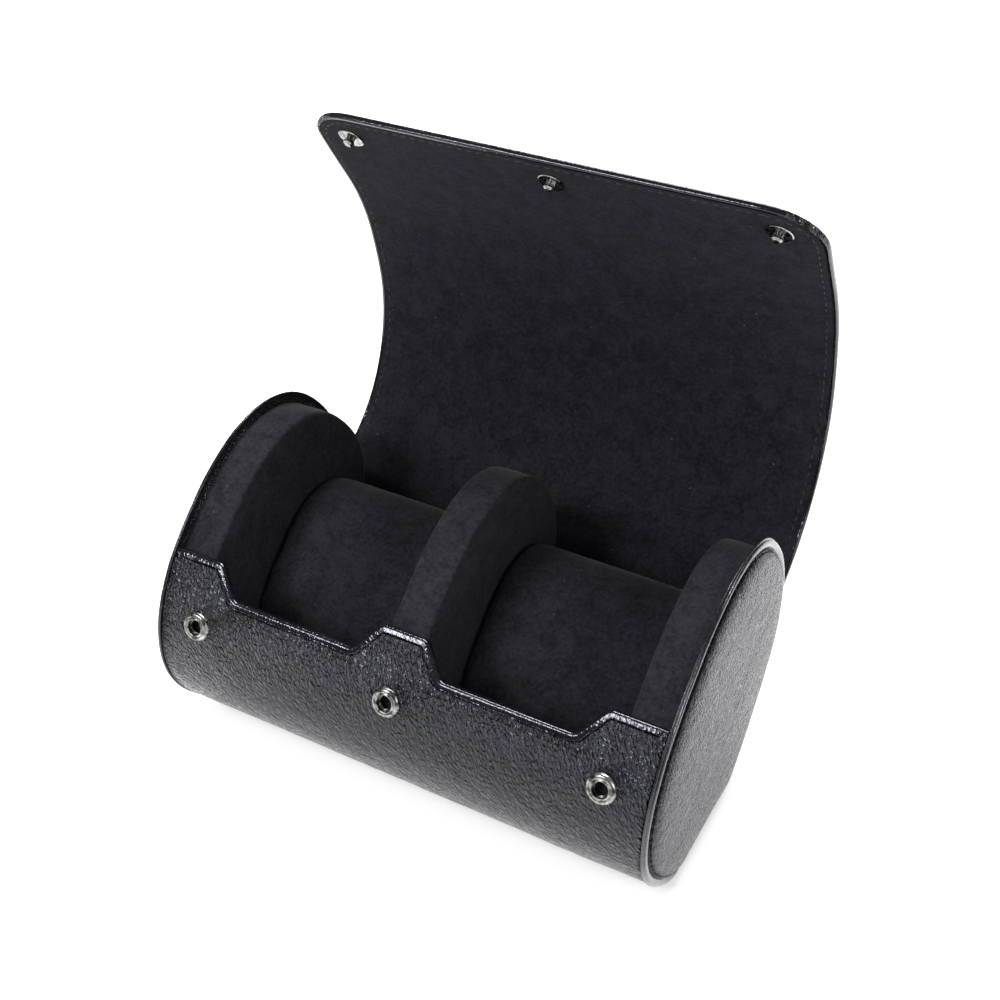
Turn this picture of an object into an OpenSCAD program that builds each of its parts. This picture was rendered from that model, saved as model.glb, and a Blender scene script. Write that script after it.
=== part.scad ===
// Travel case for two watches: a leather roll on oval end walls, two bays with
// a lift-out pillow in each, and a lid that curls over the top and snaps shut
// on the front.  Millimetres.  X runs along the case, -Y is the front, Z is up.
// The origin lies on the table, midway along the case, under the oval's centre.

/* [Section] */
// Half of the oval's long axis, which leans back from the vertical
oval_long = 50; // [46:0.5:56]
// Half of the oval's short axis
oval_short = 41; // [38:0.5:46]
// Lean of the long axis, in degrees from the vertical
oval_lean = 50; // [35:1:60]
// Squareness of the oval: 2 is an ellipse, more is squarer
oval_power = 2.3; // [2:0.05:2.8]
// Height of the oval's centre above the table, which sets how far the base is flattened
centre_h = 44; // [42:0.5:45]
// How far the back of the base sags out towards the table
base_sag = 3.4; // [2.5:0.1:5]

/* [Case] */
// Length over the two end caps
case_len = 158.8; // [140:0.2:180]
// Leather of the roll and of the lid
leather_t = 1.2; // [0.8:0.1:1.6]
// Stiffening board inside the roll and the lid
board_t = 1; // [0.8:0.1:1.6]
// Suede that lines and covers everything inside
suede_t = 0.6; // [0.4:0.1:1]
// Leather of the end caps
cap_t = 1.5; // [1:0.1:2]
// Whole thickness of an end wall, cap included
wall_t = 13.2; // [9:0.2:16]
// Board inside each end wall
wall_board_t = 2; // [1:0.1:3]
// Thickness of the divider between the bays
divider_t = 11.8; // [8:0.2:16]

/* [Front edge] */
// Angle from the top, towards the front, of the low edge before each bay
bay_edge_angle = 69.5; // [66:0.5:74]
// Height of the tabs above that low edge, measured on the leather
tab_h = 9.4; // [6:0.2:12]
// Width of the middle tab at its top
mid_tab_w = 14.2; // [10:0.2:22]
// Width of each end tab at its top, from the end cap's outer face
end_tab_w = 18; // [15:0.2:24]
// Width of the slope beside each tab
slope_w = 6.9; // [4:0.1:10]

/* [Lid] */
// Angle from the top, towards the back, of the line on which the lid folds
hinge_angle = 87; // [84:1:90]
// Direction in which the open lid leaves that line, in degrees above the level
open_angle = 18.5; // [14:0.5:26]
// Curl of the open lid at the hinge, in degrees for each millimetre
curl_rate = 1.429; // [1.3:0.001:1.5]
// How fast that curl fades along the lid, in degrees for each square millimetre
curl_fade = 0.00933; // [0.008:0.00001:0.0105]
// Length of the lid's back panel, from the hinge to the first fold
back_panel_len = 40; // [36:0.5:44]
// Length of its top panel
top_panel_len = 41; // [37:0.5:45]
// Length of its front panel
front_panel_len = 43; // [39:0.5:46]
// Length of the flap that carries the studs
flap_len = 28.5; // [27:0.5:32]
// Inner radius that the back panel is moulded to
back_panel_r = 45; // [42:0.5:56]
// Inner radius of the top panel
top_panel_r = 55; // [48:0.5:70]
// Inner radius of the front panel
front_panel_r = 77; // [60:1:110]
// Inner radius of the flap
flap_r = 140; // [100:5:240]
// Radius of the lid's free corners
lid_corner_r = 16; // [8:0.5:20]
// Clearance between the closed lid and the padded walls under it
pad_gap = 0.4; // [0.3:0.05:1]
// Clearance between the lid's side edges and the end caps
lid_side_gap = 0.45; // [0.3:0.05:1]

/* [Snap fasteners] */
// Distance of the outer snaps from the middle one
snap_pitch = 65; // [55:0.5:67]
// Angle from the top, towards the front, of the sockets
socket_angle = 82.5; // [80:0.5:86]
// Distance of the studs from the lid's free edge, on the suede
stud_edge = 11; // [8:0.5:14]
// Radius of the socket's domed ring
ring_r = 4.4; // [4:0.1:5.5]
// Height of the ring above the leather
ring_h = 1.2; // [0.8:0.1:1.6]
// Radius of the hole in the ring
ring_hole_r = 2.3; // [2.1:0.05:2.6]
// Bore radius of the eyelet behind the ring
eyelet_r = 2.5; // [2.4:0.05:2.8]
// Wall of the eyelet
eyelet_wall = 0.4; // [0.3:0.05:0.6]
// Radius of the eyelet's flange
eyelet_flange_r = 4.2; // [3.8:0.1:5]
// Radius of the stud's base disc
stud_base_r = 4; // [3:0.1:5]
// Thickness of that disc
stud_base_t = 0.6; // [0.4:0.1:1]
// Radius of the stud's head
stud_head_r = 1.6; // [1.4:0.05:1.8]
// Height of the stud above its disc
stud_h = 2.2; // [1.6:0.1:2.6]
// Radius of the rivet's shank
rivet_r = 0.9; // [0.7:0.05:1.1]
// Radius of the rivet's flange under the lid's leather
rivet_flange_r = 3.4; // [2.6:0.1:4.5]
// Thickness of the flanges of eyelets and rivets
flange_t = 0.4; // [0.3:0.05:0.5]
// Clearance of metal in its holes
metal_gap = 0.05; // [0.03:0.01:0.1]

/* [Pillows] */
// Size of a pillow across, along the slope on which it lies
pillow_w = 64; // [54:0.5:70]
// Thickness of a pillow
pillow_h = 50; // [44:0.5:52]
// Gap between a pillow's end and the wall or divider beside it
pillow_end_gap = 1.2; // [0.6:0.1:3]
// Thickness of a pillow's sewn end panel
pillow_end_t = 1; // [0.8:0.1:2]
// Lean of the pillow's flat top towards the front, in degrees
pillow_lean = 40; // [34:1:44]
// Squareness of a pillow's section
pillow_power = 2.4; // [2:0.1:3]
// Gap under a pillow, at the lining
pillow_seat_gap = 0.3; // [0.2:0.05:0.6]

/* [Hidden] */
STEP_A = 3;

LEATHER = [0.11, 0.11, 0.13];
SUEDE = [0.16, 0.16, 0.18];
BOARD = [0.62, 0.58, 0.5];
CORE = [0.66, 0.55, 0.4];
FOAM = [0.78, 0.76, 0.7];
METAL = [0.5, 0.49, 0.47];

shell_t = leather_t + board_t + suede_t;
half_len = case_len / 2;
roll_x = half_len - cap_t;
wall_x = half_len - wall_t;
lid_half = roll_x - lid_side_gap;
hinge_a = 360 - hinge_angle;

// The sag of the base is a smooth bump, centred behind the lowest point
SAG_ANGLE = 200;
SAG_SPREAD = 26;
RAW_MARGIN = 30;
CUT_REACH = 12;

function outline_r(a) =
    let (c = abs(cos(a + oval_lean)) / oval_long, s = abs(sin(a + oval_lean)) / oval_short,
         from_sag = (a + 720) % 360 - SAG_ANGLE)
    pow(pow(c, oval_power) + pow(s, oval_power), -1 / oval_power)
        + base_sag * exp(-pow(from_sag / SAG_SPREAD, 2));

// Height before the table flattens it, of the point at angle a and depth d
function raw_z(a, d) = centre_h + (outline_r(a) - d) * cos(a);
function lies_flat(a, d) = raw_z(a, d) <= d;

// Point of the section at angle a from the top, towards the front, and depth d
function section_pt(a, d) = [-(outline_r(a) - d) * sin(a), max(d, raw_z(a, d))];
function is_corner(a, d) =
    !lies_flat(a, d) || !lies_flat(a - STEP_A, d) || !lies_flat(a + STEP_A, d);
function angles(a0, a1) = concat(
    [a0],
    [for (a = [ceil(a0 / STEP_A + 0.01) * STEP_A : STEP_A : a1 - 0.01]) a],
    [a1]);
function run_pts(a0, a1, d) = [for (a = angles(a0, a1)) if (is_corner(a, d)) section_pt(a, d)];
function back_to_front(list) = [for (i = [len(list) - 1 : -1 : 0]) list[i]];
function unit(v) = v / norm(v);

// Direction up the leather at angle a
function up_dir(a) = unit(section_pt(a - 1, 0) - section_pt(a + 1, 0));

module along_x(x0, x1) {
    translate([x0, 0, 0]) rotate([90, 0, 90]) linear_extrude(x1 - x0) children();
}

// The walls and the divider fill the roll, and stand a little lower under the lid
PAD_FADE = 6;
function pad_depth(a, d) =
    let (from_hinge = (a + 720 - hinge_a + PAD_FADE) % 360,
         open_run = bay_edge_angle + 360 - hinge_a + PAD_FADE)
    shell_t + d + pad_gap * min(1, max(0, min(from_hinge, open_run - from_hinge) / PAD_FADE));
module pad_profile(d) {
    polygon([for (a = [0 : STEP_A : 360 - STEP_A])
        let (deep = pad_depth(a, d)) if (is_corner(a, deep)) section_pt(a, deep)]);
}

// Whole section at one depth
module disc_profile(d) {
    polygon([for (a = [0 : STEP_A : 360 - STEP_A]) if (is_corner(a, d)) section_pt(a, d)]);
}

// One layer of the roll, between two depths, from the front round to the hinge
module roll_layer(d0, d1) {
    start_a = bay_edge_angle - RAW_MARGIN;
    difference() {
        along_x(-roll_x, roll_x)
            polygon(concat(run_pts(start_a, hinge_a, d0), back_to_front(run_pts(start_a, hinge_a, d1))));
        front_edge_cut();
    }
}

// All that lies above the notched front edge, cut square to the leather
module front_edge_cut() {
    foot = section_pt(bay_edge_angle, 0);
    up = up_dir(bay_edge_angle);
    end_x = half_len - end_tab_w;
    mid_x = mid_tab_w / 2;
    translate([0, foot[0], foot[1]])
        rotate([atan2(up[1], up[0]), 0, 0])
            linear_extrude(2 * CUT_REACH, center = true)
                polygon([
                    [-case_len, tab_h], [-end_x, tab_h], [-end_x + slope_w, 0], [-mid_x - slope_w, 0],
                    [-mid_x, tab_h], [mid_x, tab_h], [mid_x + slope_w, 0], [end_x - slope_w, 0],
                    [end_x, tab_h], [case_len, tab_h], [case_len, 2 * oval_long], [-case_len, 2 * oval_long]
                ]);
}

// Places its children at each socket, with local Z square to the leather
module at_sockets() {
    spot = section_pt(socket_angle, 0);
    up = up_dir(socket_angle);
    for (i = [-1 : 1])
        translate([i * snap_pitch, spot[0], spot[1]]) rotate([atan2(up[1], up[0]), 0, 0]) children();
}

// Flat seats are pressed in until the curved leather meets the ring's rim
ring_seat = ring_r * ring_r / (2 * oval_short);
tube_r = eyelet_r + eyelet_wall;
// Flanges are pressed this far into the board, which curves away under them
FLANGE_SINK = 0.1;
board_in = FLANGE_SINK - leather_t - board_t;

module body_leather() {
    color(LEATHER) difference() {
        roll_layer(0, leather_t);
        at_sockets() {
            translate([0, 0, -ring_seat]) cylinder(h = CUT_REACH, r = ring_r + metal_gap, $fn = 64);
            cylinder(h = CUT_REACH, r = tube_r + metal_gap, center = true, $fn = 64);
        }
    }
}

module body_board() {
    color(BOARD) difference() {
        roll_layer(leather_t, leather_t + board_t);
        at_sockets() {
            cylinder(h = CUT_REACH, r = tube_r + metal_gap, center = true, $fn = 64);
            translate([0, 0, board_in + flange_t - CUT_REACH])
                cylinder(h = CUT_REACH, r = eyelet_flange_r + metal_gap, $fn = 64);
        }
    }
}

module body_suede() {
    color(SUEDE) roll_layer(leather_t + board_t, shell_t);
}

module mirrored(side) {
    mirror([side < 0 ? 1 : 0, 0, 0]) children();
}

module cap_leather(side) {
    color(LEATHER) mirrored(side) along_x(roll_x, half_len) disc_profile(0);
}

module wall_board(side) {
    color(BOARD) mirrored(side)
        along_x(roll_x - wall_board_t, roll_x) pad_profile(suede_t);
}

module wall_core(side) {
    color(CORE) mirrored(side)
        along_x(wall_x + suede_t, roll_x - wall_board_t) pad_profile(suede_t);
}

// Suede glued over the wall's edge and inner face
module wall_suede(side) {
    color(SUEDE) mirrored(side) difference() {
        along_x(wall_x, roll_x) pad_profile(0);
        along_x(wall_x + suede_t, roll_x + 1) pad_profile(suede_t);
    }
}

// The divider's core stands on the lining, and its suede is open at the base
module divider_block() {
    half = divider_t / 2 - suede_t;
    along_x(-half, half) union() {
        pad_profile(suede_t);
        intersection() {
            pad_profile(0);
            foot = [for (a = [0 : STEP_A : 357]) if (lies_flat(a, shell_t + suede_t)) section_pt(a, shell_t)[0]];
            translate([min(foot), 0]) square([max(foot) - min(foot), centre_h]);
        }
    }
}

module divider_core() {
    color(CORE) divider_block();
}

module divider_suede() {
    color(SUEDE) difference() {
        along_x(-divider_t / 2, divider_t / 2) pad_profile(0);
        divider_block();
    }
}

module snap_sockets() {
    lip = (ring_r - ring_hole_r) / 2;
    color(METAL) at_sockets() rotate_extrude($fn = 64)
        polygon(concat(
            [[ring_hole_r, -ring_seat], [ring_r, -ring_seat], [ring_r, 0]],
            [for (t = [0 : 15 : 180]) [ring_hole_r + lip + lip * cos(t), ring_h * sin(t)]],
            [[ring_hole_r, 0]]));
}

module socket_eyelets() {
    color(METAL) at_sockets() rotate_extrude($fn = 64)
        polygon([
            [eyelet_r, board_in], [eyelet_flange_r, board_in], [eyelet_flange_r, board_in + flange_t],
            [tube_r, board_in + flange_t], [tube_r, -ring_seat], [eyelet_r, -ring_seat]
        ]);
}

// A split ring of spring wire inside each eyelet, which grips the stud
SPRING_GAP_A = 40;
spring_top = -ring_seat - 0.1;
module socket_springs() {
    spring_in = stud_head_r + 0.4;
    color(METAL) at_sockets() rotate([0, 0, 90 + SPRING_GAP_A / 2])
        rotate_extrude(angle = 360 - SPRING_GAP_A, $fn = 64)
            translate([spring_in, spring_top - 0.5])
                square([eyelet_r - spring_in - metal_gap, 0.5]);
}

// --- Lid ---------------------------------------------------------------

hinge_pt = section_pt(hinge_a, 0);
seams = [
    0,
    back_panel_len,
    back_panel_len + top_panel_len,
    back_panel_len + top_panel_len + front_panel_len,
    back_panel_len + top_panel_len + front_panel_len + flap_len
];
LID_STEPS = 60;
moulded_r = [back_panel_r, top_panel_r, front_panel_r, flap_r];

function lid_dir(s) = open_angle + curl_rate * s - curl_fade * s * s / 2;
function in_dir(a) = [-sin(a), cos(a)];
function total(v) = [for (i = v) 1] * v;

// Point on the open lid's outer face at distance s from the hinge
function lid_out(s) = s <= 0 ? hinge_pt : hinge_pt + s / LID_STEPS * total([
    for (i = [0 : LID_STEPS - 1])
        let (a = lid_dir((i + 0.5) * s / LID_STEPS)) [cos(a), sin(a)]
]);
function seam_pt(i) = lid_out(seams[i]) + shell_t * in_dir(lid_dir(seams[i]));

// Point of panel i at share u of its length and height h outside its suede face
function panel_pt(i, r, u, h) =
    let (p = seam_pt(i), q = seam_pt(i + 1), along = unit(q - p), out = [along[1], -along[0]],
         half_a = asin(norm(q - p) / 2 / r), a = half_a * (2 * u - 1),
         face = lid_dir(seams[i]) + (lid_dir(seams[i + 1]) - lid_dir(seams[i])) * u)
    (p + q) / 2 + along * r * sin(a) + out * r * (cos(a) - cos(half_a)) - h * in_dir(face);

PANEL_FACETS = 14;
module panel_profile(i, r, h0, h1) {
    steps = [0 : PANEL_FACETS];
    polygon(concat(
        [for (k = steps) panel_pt(i, r, k / PANEL_FACETS, h0)],
        [for (k = steps) panel_pt(i, r, 1 - k / PANEL_FACETS, h1)]));
}

suede_h = [0, suede_t];
board_h = [suede_t, suede_t + board_t];
leather_h = [suede_t + board_t, shell_t];

module panel_layer(i, h) {
    along_x(-lid_half, lid_half) panel_profile(i, moulded_r[i], h[0], h[1]);
}

// The flap's outline, with rounded free corners
module flap_plan() {
    start = seam_pt(3);
    end = seam_pt(4);
    run = norm(end - start);
    flat = lid_half - lid_corner_r;
    translate([0, start[0], start[1]])
        rotate([atan2(end[1] - start[1], end[0] - start[0]), 0, 0])
            linear_extrude(2 * CUT_REACH, center = true) {
                translate([-lid_half - 1, -CUT_REACH])
                    square([2 * lid_half + 2, run - lid_corner_r + CUT_REACH]);
                translate([-flat, 0]) square([2 * flat, run + 1]);
                for (x = [-flat, flat])
                    translate([x, run - lid_corner_r]) circle(r = lid_corner_r, $fn = 96);
            }
}

module flap_layer(h) {
    intersection() {
        panel_layer(3, h);
        flap_plan();
    }
}

// Places its children at each stud, with local Z into the lid's hollow side
module at_studs() {
    u = 1 - stud_edge / flap_len;
    spot = panel_pt(3, flap_r, u, 0);
    ahead = unit(panel_pt(3, flap_r, u + 0.02, 0) - panel_pt(3, flap_r, u - 0.02, 0));
    for (i = [-1 : 1])
        translate([i * snap_pitch, spot[0], spot[1]])
            rotate([atan2(ahead[1], ahead[0]), 0, 0]) children();
}

stud_seat = stud_base_r * stud_base_r / (2 * flap_r);
rivet_top = FLANGE_SINK - suede_t - board_t;

module flap_leather() {
    color(LEATHER) flap_layer(leather_h);
}

module flap_board() {
    color(BOARD) difference() {
        flap_layer(board_h);
        at_studs() {
            cylinder(h = CUT_REACH, r = rivet_r + metal_gap, center = true, $fn = 32);
            translate([0, 0, rivet_top + flange_t - CUT_REACH])
                cylinder(h = CUT_REACH, r = rivet_flange_r + metal_gap, $fn = 64);
        }
    }
}

module flap_suede() {
    color(SUEDE) difference() {
        flap_layer(suede_h);
        at_studs() {
            cylinder(h = CUT_REACH, r = rivet_r + metal_gap, center = true, $fn = 32);
            translate([0, 0, -stud_seat]) cylinder(h = CUT_REACH, r = stud_base_r + metal_gap, $fn = 64);
        }
    }
}

module snap_studs() {
    disc_z = stud_base_t - stud_seat;
    tip_z = disc_z + stud_h;
    neck_r = stud_head_r - 0.3;
    color(METAL) at_studs() rotate_extrude($fn = 64)
        polygon([
            [0, -stud_seat], [stud_base_r, -stud_seat], [stud_base_r, disc_z - 0.15], [stud_base_r - 0.3, disc_z],
            [neck_r, disc_z], [neck_r, disc_z + 0.3 * stud_h], [stud_head_r, disc_z + 0.5 * stud_h],
            [stud_head_r, disc_z + 0.75 * stud_h], [stud_head_r * 0.6, tip_z], [0, tip_z]
        ]);
}

module stud_rivets() {
    color(METAL) at_studs() {
        translate([0, 0, rivet_top]) cylinder(h = flange_t, r = rivet_flange_r, $fn = 64);
        translate([0, 0, rivet_top]) cylinder(h = -stud_seat - rivet_top, r = rivet_r, $fn = 32);
    }
}

// --- Pillows -----------------------------------------------------------

pillow_x0 = divider_t / 2 + pillow_end_gap;
pillow_x1 = wall_x - pillow_end_gap;
PILLOW_STEP = 6;

// Pillow outline about its own middle, turned to its lean
function pillow_pts(inset) = [
    for (a = [0 : PILLOW_STEP : 360 - PILLOW_STEP])
        let (half_w = pillow_w / 2 - inset, half_h = pillow_h / 2 - inset,
             r = pow(pow(abs(cos(a)) / half_w, pillow_power)
                     + pow(abs(sin(a)) / half_h, pillow_power), -1 / pillow_power),
             lean = a + pillow_lean)
        [r * cos(lean), r * sin(lean)]];

// Distance from the oval's centre to the lining, and what a pillow leaves of it
function lining_r(a) = min(outline_r(a) - shell_t, (centre_h - shell_t) / max(0.01, -cos(a)));
function sunk(drop) = drop * [sin(pillow_lean), -cos(pillow_lean)];
function seat_slack(drop) = min([for (p = pillow_pts(0))
    let (q = p + sunk(drop)) lining_r(atan2(-q[0], q[1])) - norm(q)]);

// The pillow sinks along its lean until its tightest point is the gap away
SEAT_ROUNDS = 8;
function seat_drop(drop, rounds) =
    rounds <= 0 ? drop : seat_drop(drop + seat_slack(drop) - pillow_seat_gap, rounds - 1);
pillow_mid = [0, centre_h] + sunk(seat_drop(outline_r(180 + pillow_lean) - pillow_h, SEAT_ROUNDS));

module pillow_profile(inset) {
    translate(pillow_mid) polygon(pillow_pts(inset));
}

module pillow_suede(side) {
    color(SUEDE) mirrored(side) along_x(pillow_x0 + pillow_end_t, pillow_x1 - pillow_end_t) difference() {
        pillow_profile(0);
        pillow_profile(suede_t);
    }
}

module pillow_foam(side) {
    color(FOAM) mirrored(side)
        along_x(pillow_x0 + pillow_end_t, pillow_x1 - pillow_end_t) pillow_profile(suede_t);
}

module pillow_ends(side) {
    color(SUEDE) mirrored(side) {
        along_x(pillow_x0, pillow_x0 + pillow_end_t) pillow_profile(0);
        along_x(pillow_x1 - pillow_end_t, pillow_x1) pillow_profile(0);
    }
}

body_leather();
body_board();
body_suede();
cap_leather(-1);  // left_cap_leather
wall_board(-1);  // left_wall_board
wall_core(-1);  // left_wall_core
wall_suede(-1);  // left_wall_suede
cap_leather(1);  // right_cap_leather
wall_board(1);  // right_wall_board
wall_core(1);  // right_wall_core
wall_suede(1);  // right_wall_suede
divider_core();
divider_suede();
snap_sockets();
socket_eyelets();
socket_springs();
pillow_foam(-1);  // left_pillow_foam
pillow_suede(-1);  // left_pillow_suede
pillow_ends(-1);  // left_pillow_ends
pillow_foam(1);  // right_pillow_foam
pillow_suede(1);  // right_pillow_suede
pillow_ends(1);  // right_pillow_ends
color(LEATHER) panel_layer(0, leather_h);  // lid_back_leather
color(BOARD) panel_layer(0, board_h);  // lid_back_board
color(SUEDE) panel_layer(0, suede_h);  // lid_back_suede
color(LEATHER) panel_layer(1, leather_h);  // lid_top_leather
color(BOARD) panel_layer(1, board_h);  // lid_top_board
color(SUEDE) panel_layer(1, suede_h);  // lid_top_suede
color(LEATHER) panel_layer(2, leather_h);  // lid_front_leather
color(BOARD) panel_layer(2, board_h);  // lid_front_board
color(SUEDE) panel_layer(2, suede_h);  // lid_front_suede
flap_leather();
flap_board();
flap_suede();
snap_studs();
stud_rivets();
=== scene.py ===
import math

import bmesh
import bpy
import numpy as np
from mathutils import Matrix, Vector, noise


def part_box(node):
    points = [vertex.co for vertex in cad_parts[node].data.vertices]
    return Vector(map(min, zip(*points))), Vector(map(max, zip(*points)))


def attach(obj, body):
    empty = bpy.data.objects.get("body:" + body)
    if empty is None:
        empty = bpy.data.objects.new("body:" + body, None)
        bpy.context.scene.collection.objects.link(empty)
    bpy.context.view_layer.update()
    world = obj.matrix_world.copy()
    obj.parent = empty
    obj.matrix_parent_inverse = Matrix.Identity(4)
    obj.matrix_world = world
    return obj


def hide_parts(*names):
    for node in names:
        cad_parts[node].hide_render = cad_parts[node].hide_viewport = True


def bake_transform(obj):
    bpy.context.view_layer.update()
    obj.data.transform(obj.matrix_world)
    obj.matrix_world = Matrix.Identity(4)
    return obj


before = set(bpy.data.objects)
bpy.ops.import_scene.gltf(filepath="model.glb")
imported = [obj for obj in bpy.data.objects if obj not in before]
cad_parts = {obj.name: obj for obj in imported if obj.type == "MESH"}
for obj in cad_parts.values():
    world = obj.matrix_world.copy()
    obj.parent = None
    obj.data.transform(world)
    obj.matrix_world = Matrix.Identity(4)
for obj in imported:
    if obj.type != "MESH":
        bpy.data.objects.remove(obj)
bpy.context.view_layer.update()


# The studio: a pale floor under the case, a surround that is white to the camera and dim to
# everything else, and three large soft lamps.  None of it belongs to the case.

MM = 0.001

camera_data = bpy.data.cameras.new("camera")
camera_data.sensor_width = 36
camera_data.lens = 52.10
camera_data.clip_start = 0.01
camera_data.clip_end = 20
camera = bpy.data.objects.new("camera", camera_data)
bpy.context.scene.collection.objects.link(camera)
camera.location = Vector((165.745, -281.865, 326.271)) * MM
look_at = Vector((-0.271, 18.807, 76.945)) * MM
camera.rotation_euler = (look_at - camera.location).to_track_quat("-Z", "Y").to_euler()
bpy.context.scene.camera = camera
bpy.context.scene.view_settings.view_transform = "Standard"


def soft_lamp(name, place, size, watts):
    lamp_data = bpy.data.lights.new(name, "AREA")
    lamp_data.shape = "RECTANGLE"
    lamp_data.size, lamp_data.size_y = size
    lamp_data.energy = watts
    lamp = bpy.data.objects.new(name, lamp_data)
    bpy.context.scene.collection.objects.link(lamp)
    lamp.location = place
    lamp.rotation_euler = (Vector((0, 0, 0.07)) - Vector(place)).to_track_quat("-Z", "Y").to_euler()
    return lamp


soft_lamp("overhead_lamp", (-0.10, 0.55, 1.05), (0.7, 0.5), 20.0)
soft_lamp("side_lamp", (1.10, -0.55, 0.75), (0.6, 0.6), 6.0)
soft_lamp("high_lamp", (-0.42, -0.72, 0.85), (0.35, 0.30), 7.0)


def new_material(name):
    """A material with its node tree and its Principled shader."""
    material = bpy.data.materials.new(name)
    material.use_nodes = True
    tree = material.node_tree
    shader = tree.nodes["Principled BSDF"]
    return material, tree, shader


def add_node(tree, kind, settings=None, inputs=None):
    """Adds a node, sets its options and its inputs; a linked input is given as a socket."""
    node = tree.nodes.new(kind)
    for key, value in (settings or {}).items():
        setattr(node, key, value)
    for key, value in (inputs or {}).items():
        if isinstance(value, bpy.types.NodeSocket):
            tree.links.new(value, node.inputs[key])
        else:
            node.inputs[key].default_value = value
    return node


def sums(tree, operation, *values):
    """The result of one sum on numbers and sockets."""
    return add_node(tree, "ShaderNodeMath", {"operation": operation}, dict(enumerate(values))).outputs[0]


def ranged(tree, value, lowest, highest, at_lowest=0.0, at_highest=1.0, smooth=False):
    """A value carried over from one range to another, and held at both ends."""
    form = "SMOOTHSTEP" if smooth else "LINEAR"
    return add_node(tree, "ShaderNodeMapRange", {"interpolation_type": form},
                    {"Value": value, "From Min": lowest, "From Max": highest,
                     "To Min": at_lowest, "To Max": at_highest}).outputs["Result"]


world = bpy.data.worlds.new("surround")
bpy.context.scene.world = world
world.use_nodes = True
sky = world.node_tree
sky.nodes["Background"].inputs["Color"].default_value = (1.0, 1.0, 1.0, 1)
SURROUND_LIGHT = 0.19
seen = add_node(sky, "ShaderNodeLightPath")
brightness = sums(sky, "MAXIMUM", seen.outputs["Is Camera Ray"], SURROUND_LIGHT)
sky.links.new(brightness, sky.nodes["Background"].inputs["Strength"])

floor_mesh = bpy.data.meshes.new("studio_floor")
bm = bmesh.new()
bmesh.ops.create_grid(bm, x_segments=1, y_segments=1, size=4.0)
bm.to_mesh(floor_mesh)
bm.free()
studio_floor = bpy.data.objects.new("studio_floor", floor_mesh)
bpy.context.scene.collection.objects.link(studio_floor)
floor_paint, tree, shader = new_material("floor_paint")
shader.inputs["Base Color"].default_value = (0.86, 0.86, 0.86, 1)
shader.inputs["Roughness"].default_value = 0.9
shader.inputs["Specular IOR Level"].default_value = 0.1

# Seen by the camera the floor is lifted towards white, and more so far off.  In a glossy surface
# it glows near the case and fades with distance: a glow that is no lamp, which paints a bright
# reflection into the glossy surfaces of the case.
rays = add_node(tree, "ShaderNodeLightPath")
spot = add_node(tree, "ShaderNodeTexCoord")
away = add_node(tree, "ShaderNodeVectorMath", {"operation": "LENGTH"}, {0: spot.outputs["Object"]})
glow_near_case = ranged(tree, away.outputs["Value"], 0.10, 0.36, 0.90, 0.0)
mirrored = sums(tree, "MAXIMUM", rays.outputs["Is Glossy Ray"], rays.outputs["Is Transmission Ray"])
painted_reflection_glow = sums(tree, "MULTIPLY", mirrored, glow_near_case)
far_white = ranged(tree, away.outputs["Value"], 0.40, 1.60, 0.50, 1.0)
lift = sums(tree, "MULTIPLY_ADD", rays.outputs["Is Camera Ray"], far_white, painted_reflection_glow)
shader.inputs["Emission Color"].default_value = (1, 1, 1, 1)
tree.links.new(lift, shader.inputs["Emission Strength"])
floor_mesh.materials.append(floor_paint)


# Leather of the roll: one black pebble-grain hide that runs from the notched front edge, under the
# case and up the back.  Its edge is turned over the stiffening board, which leaves a crease beside it.

LEATHER = 1.2 * MM
BOARD = 1.0 * MM
SUEDE = 0.6 * MM
SHELL = LEATHER + BOARD + SUEDE
GLUE = 0.05 * MM
ROLL_X = 77.9 * MM
LID_X = 77.8 * MM
CENTRE_Z = 44 * MM
HINGE_ANGLE = 273
BAY_EDGE_ANGLE = 69.5
TAB_HEIGHT = 9.4 * MM
TURNED_EDGE = 0.5 * MM


# The oval section: half axes in mm, lean in degrees and power, and the sag of its base
LONG_HALF, SHORT_HALF = 50, 41
OVAL_LEAN = 50
OVAL_POWER = 2.3
SAG = 3.4
SAG_MIDDLE = 200
SAG_SPREAD = 26


def outline_radius(angle):
    """Radius of the oval section, in metres, at an angle from the top towards the front."""
    turned = np.radians(angle + OVAL_LEAN)
    long_share = (np.abs(np.cos(turned)) / LONG_HALF) ** OVAL_POWER
    short_share = (np.abs(np.sin(turned)) / SHORT_HALF) ** OVAL_POWER
    oval = (long_share + short_share) ** (-1 / OVAL_POWER)
    from_sag = (np.asarray(angle) + 720) % 360 - SAG_MIDDLE
    return (oval + SAG * np.exp(-((from_sag / SAG_SPREAD) ** 2))) * MM


def section_point(angle, depth):
    """(y, z) of the roll's section, at an angle from the top and a depth below its outer face."""
    reach = outline_radius(angle) - depth
    y = -reach * np.sin(np.radians(angle))
    z = np.maximum(depth, CENTRE_Z + reach * np.cos(np.radians(angle)))
    return y, z


# The strip: s runs along the outer face, 0 at the lid's fold, below 0 down the back and under the case
roll_angles = np.arange(HINGE_ANGLE, 40, -0.25)
roll_y, roll_z = section_point(roll_angles, 0)
roll_s = -np.concatenate([[0], np.cumsum(np.hypot(np.diff(roll_y), np.diff(roll_z)))])
FRONT_EDGE_S = float(np.interp(-BAY_EDGE_ANGLE, -roll_angles, roll_s))
ROLL_END_S = -6 * MM

FOLDS = np.array([0, 40, 81, 124, 152.5]) * MM
MOULDED_RADII = np.array([45, 55, 77, 140]) * MM
FOLD_POINT = np.array(section_point(HINGE_ANGLE, 0))

# The open lid: direction at the fold in degrees, curl in degrees per mm, and how fast the curl fades
OPEN_ANGLE = 18.5
CURL = 1.429
CURL_FADE = 0.00933
CURVE_STEPS = 60


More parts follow.
